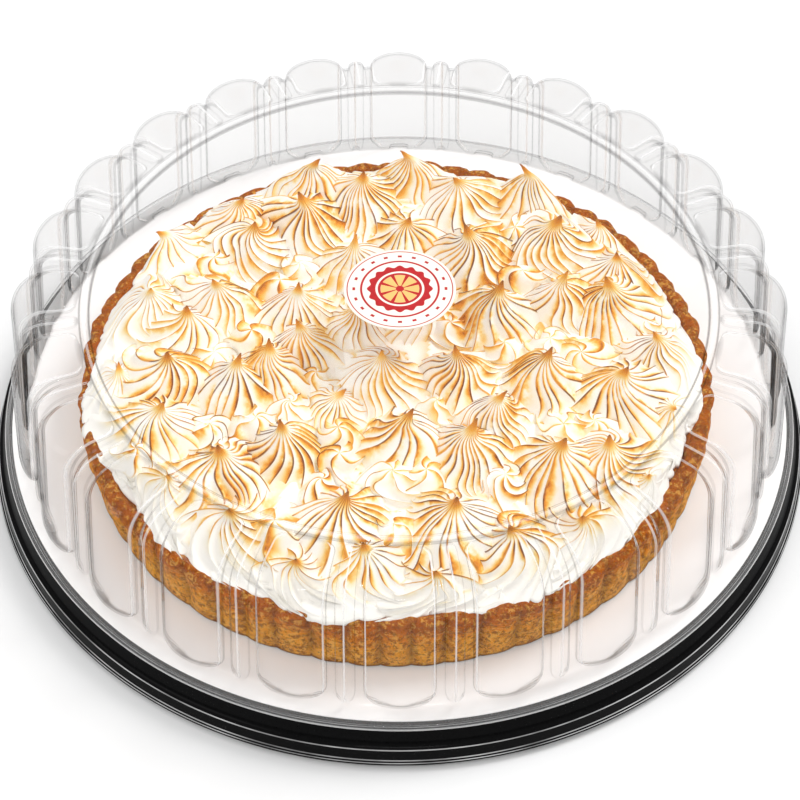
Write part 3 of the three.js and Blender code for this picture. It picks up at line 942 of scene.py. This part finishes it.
def wall_rows(shrink):
    """Rows of the ribbed wall, from the top ring to the flange, moved inwards by shrink."""
    valley, crest = wall_line(**VALLEY), wall_line(**CREST)
    count = len(valley)
    along = np.concatenate([[0], np.cumsum(np.linalg.norm(np.diff(crest, axis=0), axis=1))])
    top = np.sqrt(np.clip(1 - (1 - np.clip(along / 7.0, 0, 1)) ** 2, 0.0, 1))
    foot = np.sqrt(np.clip(1 - (1 - np.clip((along[-1] - along) / 8.0, 0, 1)) ** 2, 0.0, 1))
    taper = np.maximum(top * foot, 0.05)
    rows, dark, lit, calm = [], [], [], []
    for k in range(count):
        offsets, shares = lobe_columns(taper[k])
        azimuth = np.radians(np.concatenate([offsets + 360.0 / LOBES * n for n in range(LOBES)]))
        share = np.tile(shares, LOBES)
        r = valley[k, 0] + (crest[k, 0] - valley[k, 0]) * share
        z = valley[k, 1] + (crest[k, 1] - valley[k, 1]) * share
        slope = valley[min(k + 1, count - 1)] - valley[max(k - 1, 0)]
        slope = slope / np.linalg.norm(slope)
        r = r + shrink * slope[1]
        z = z - shrink * slope[0]
        rows.append(np.stack([r * np.sin(azimuth), -r * np.cos(azimuth), z], axis=-1))

        # The painted dark lines fade towards a lobe's ends, and more so at its foot; painted dark arcs
        # mark its upper end, and the painted glints fade out at both ends.
        upper = k <= count / 2
        ends = 1 - np.clip((taper[k] - 0.1) / 0.45, 0, 1)
        low_end = 0.0 if upper else 1 - np.clip((taper[k] - 0.4) / 0.55, 0, 1)
        lines = EDGE_LINES * (1 - 0.6 * ends) * (1 - 0.9 * low_end)
        arc = ends * (0.6 if k < count / 2 else 0.04) * (shares > 0)
        shade = np.maximum(np.maximum(lines, arc), WALL_TINT * (1 - low_end))
        dark.append(np.tile(shade, LOBES))
        lit.append(np.tile(EDGE_GLINTS, LOBES) * (1 - ends))
        calm.append(np.full(len(azimuth), 0.97 * low_end))
    return np.array(rows), azimuth, np.array(dark), np.array(lit), np.array(calm)


# Radius, height and rounding along the top with its bead, the flange with its turned-down lip, and
# the flange's underside.
SEAT = TRAY_HEIGHT + GAP
FLANGE_Z = SEAT + DOME_WALL
SHEEN_START = 144.3     # beyond this radius the flange lies over the black tray and gets a painted grey sheen
LIP_LINE = 0.75         # height of the painted bright line along the lip's lower edge
TOP_AND_BEAD = [
    (20.0, PLATE_Z, 0), (PLATE_RADIUS, PLATE_Z, 0.8), (PLATE_RADIUS + 1.0, DOME_TOP, 0.7),
    (PLATE_RADIUS + 2.9, DOME_TOP, 0.9), (RING_RADIUS - 0.6, DOME_TOP - 0.75, 0.4),
    (RING_RADIUS - 0.2, DOME_TOP - 0.7, 0),
]
FLANGE_AND_LIP = [
    (142.9, FLANGE_Z, 0), (SHEEN_START - 0.2, FLANGE_Z, 0), (SHEEN_START + 0.1, FLANGE_Z, 0),
    (FLANGE_RADIUS, FLANGE_Z, 0.4), (LIP_FOOT[0], LIP_FOOT[1] + 0.3, 0.2),
    (LIP_FOOT[0] - 0.2, LIP_FOOT[1], 0),
]
FLANGE_UNDER = [
    (LIP_FOOT[0] - 0.7, LIP_FOOT[1], 0), (FLANGE_RADIUS - 0.4, SEAT + 0.1, 0.3),
    (142.4, SEAT + 0.1, 0.2), (141.6, SEAT + 0.2, 0),
]


def ring_line(radius, place, strength, core, fade):
    """A painted line round the bead: of its full strength near its place, then fading out."""
    return strength * np.clip(core - np.abs(radius - place) / fade, 0, 1)


def build_dome():
    """A thin clear shell: sunk top plate, bead round it, ribbed wall and flat flange."""
    outer_wall, azimuth, wall_dark, wall_lit, wall_calm = wall_rows(0.0)
    around = len(azimuth)
    inner_wall = wall_rows(DOME_WALL * 0.8)[0]
    bead = rounded(TOP_AND_BEAD, 4)
    near_edge = bead[1] + (bead[0] - bead[1]) * 0.05
    bead = np.concatenate([bead[:1], [near_edge], finer(bead[1:], FINE_STEP)])
    bead_under = bead[::-1] - np.array([0.0, DOME_WALL])
    flange = rounded(FLANGE_AND_LIP, 3)
    flange = np.concatenate([flange[:3], finer(flange[3:], FINE_STEP)])
    under = rounded(FLANGE_UNDER, 3)
    rows = np.concatenate([
        plain_rows(bead, azimuth), outer_wall, plain_rows(flange, azimuth),
        plain_rows(under, azimuth), inner_wall[::-1], plain_rows(bead_under, azimuth),
    ])
    points, faces = closed_lathe(rows)

    def spread_out(bead_values, wall_values, lip_values):
        def flat(values):
            return np.repeat(values, around)
        return np.concatenate([
            flat(bead_values), wall_values.ravel(), flat(lip_values), flat(np.zeros(len(under))),
            wall_values[::-1].ravel(), flat(bead_values[::-1]), [0.0, 0.0]])

    # Painted dark lines at both edges of the bead and a painted glint between them; the flange gets a
    # painted grey sheen and the lip a painted bright line.
    radius = bead[:, 0]
    lines = np.maximum(ring_line(radius, PLATE_RADIUS + 0.2, 0.95, 1.3, 0.4),
                       ring_line(radius, RING_RADIUS - 0.5, 0.85, 1.2, 0.4))
    glint = ring_line(radius, PLATE_RADIUS + 1.9, 0.68, 1.4, 0.9)
    sheen = np.where(flange[:, 0] > SHEEN_START, 0.62, 0.0)
    sheen[flange[:, 1] < LIP_FOOT[1] + LIP_LINE] = 1.0
    nothing = np.zeros(len(flange))
    shading = {
        "dark": spread_out(lines, wall_dark, nothing), "lit": spread_out(glint, wall_lit, sheen),
        "calm": spread_out(np.zeros(len(bead)), wall_calm, nothing),
    }
    return new_piece("dome_clear", points, faces, shading)


def build_label():
    """The sticker is a disc on the plate, its design is in its material."""
    low = PLATE_Z + GAP
    high = low + LABEL_THICK
    line = rounded([(LABEL_HUB, low, 0), (LABEL_RADIUS, low, 0.05), (LABEL_RADIUS, high, 0.15),
                    (LABEL_HUB, high, 0)])
    points, faces = closed_lathe(lathe_points(line, LABEL_SIDES))
    return new_piece("label_round", points + LABEL_CENTRE, faces)


# ---- Build the part ----------------------------------------------------------------------------
finish_piece(build_tray(), black_plastic(), "base_tray")
finish_piece(build_board(), white_board(), "cake_board")
finish_piece(build_crust(), baked_crust(), "pie_crust")
build_meringue(toasted_meringue())
finish_piece(build_dome(), clear_plastic(), "dome_lid")
finish_piece(build_label(), printed_label(), "label")


# ---- Floor, light and camera -------------------------------------------------------------------
FLOOR_WIDTH = 5000.0
LIGHTS_AIM = (0.0, 0.0, 0.04)       # from here on in metres
CAMERA_PLACE = (0.0, -0.4879, 0.5623)
CAMERA_LOOK = (0.0, 0.4879, -0.5458)
CAMERA_YAW, CAMERA_PITCH, CAMERA_ROLL = 0.000337, -0.003433, -0.002734
CAMERA_LENS = 87.45
HORIZON, ZENITH = (0.02, 0.34), (0.55, 1.0)     # how high in the sky, and how bright
SKY_STRENGTH = 0.96


def floor_material():
    m = Nodes("white_table")
    tone = m.ramp(m.noise(3.0, 2.0), [(0.3, (0.80, 0.80, 0.80)), (0.7, (0.82, 0.82, 0.82))])
    shader = m.add("BsdfPrincipled", {"Base Color": tone, "Roughness": 0.55, "Specular IOR Level": 0.2})
    return m.surface(shader.outputs[0])


def build_floor():
    half = FLOOR_WIDTH / 2
    points = np.array([[-half, -half, 0], [half, -half, 0], [half, half, 0], [-half, half, 0]])
    floor = new_piece("table_top", points, [np.array([[0, 1, 2, 3]])])
    floor.data.materials.append(floor_material())


def aimed(holder, place, aim):
    direction = Vector(aim) - Vector(place)
    holder.location = place
    holder.rotation_euler = direction.to_track_quat("-Z", "Y").to_euler()
    bpy.context.scene.collection.objects.link(holder)


def soft_sun(name, place, spread, strength):
    """An even key light from far off, wide enough for soft shadows."""
    lamp = bpy.data.lights.new(name, "SUN")
    lamp.angle = math.radians(spread)
    lamp.energy = strength
    holder = bpy.data.objects.new(name, lamp)
    holder.visible_glossy = False
    aimed(holder, place, LIGHTS_AIM)


def soft_box(name, place, size, power):
    lamp = bpy.data.lights.new(name, "AREA")
    lamp.shape = "RECTANGLE"
    lamp.size, lamp.size_y = size
    lamp.energy = power
    aimed(bpy.data.objects.new(name, lamp), place, LIGHTS_AIM)


def light_scene():
    world = bpy.data.worlds.new("studio")
    world.use_nodes = True
    tree = world.node_tree
    background = tree.nodes["Background"]
    direction = tree.nodes.new("ShaderNodeTexCoord")
    parts = tree.nodes.new("ShaderNodeSeparateXYZ")
    ramp = tree.nodes.new("ShaderNodeValToRGB")
    for element, (position, bright) in zip(ramp.color_ramp.elements, (HORIZON, ZENITH)):
        element.position = position
        element.color = colour(bright)
    tree.links.new(direction.outputs["Generated"], parts.inputs[0])
    tree.links.new(parts.outputs["Z"], ramp.inputs[0])
    tree.links.new(ramp.outputs["Color"], background.inputs["Color"])
    background.inputs["Strength"].default_value = SKY_STRENGTH
    bpy.context.scene.world = world
    soft_sun("key_back_right", place=(0.75, 0.45, 0.95), spread=24.0, strength=1.65)
    soft_box("fill_front_left", place=(-0.8, -0.55, 0.7), size=(0.8, 0.5), power=2.0)
    soft_box("strip_front", place=(0.0, -0.72, 1.15), size=(0.34, 0.03), power=1.0)


def turned(a, b, angle):
    """Two axes at right angles, both turned by an angle in their plane."""
    return a * math.cos(angle) + b * math.sin(angle), b * math.cos(angle) - a * math.sin(angle)


def place_camera():
    camera = bpy.data.cameras.new("photo_view")
    camera.sensor_width = 36.0
    camera.lens = CAMERA_LENS
    camera.clip_start = 0.05
    holder = bpy.data.objects.new("photo_view", camera)
    bpy.context.scene.collection.objects.link(holder)
    look = Vector(CAMERA_LOOK).normalized()
    level = Vector((1.0, 0.0, 0.0))
    up = level.cross(look)
    ahead, right = turned(look, level, CAMERA_YAW)
    forward, above = turned(ahead, up, CAMERA_PITCH)
    tilted, upright = turned(right, above, CAMERA_ROLL)
    axes = Matrix((tilted, upright, -forward)).transposed().to_4x4()
    holder.matrix_world = Matrix.Translation(CAMERA_PLACE) @ axes
    bpy.context.scene.camera = holder


build_floor()
light_scene()
place_camera()
bpy.context.scene.view_settings.view_transform = "Standard"
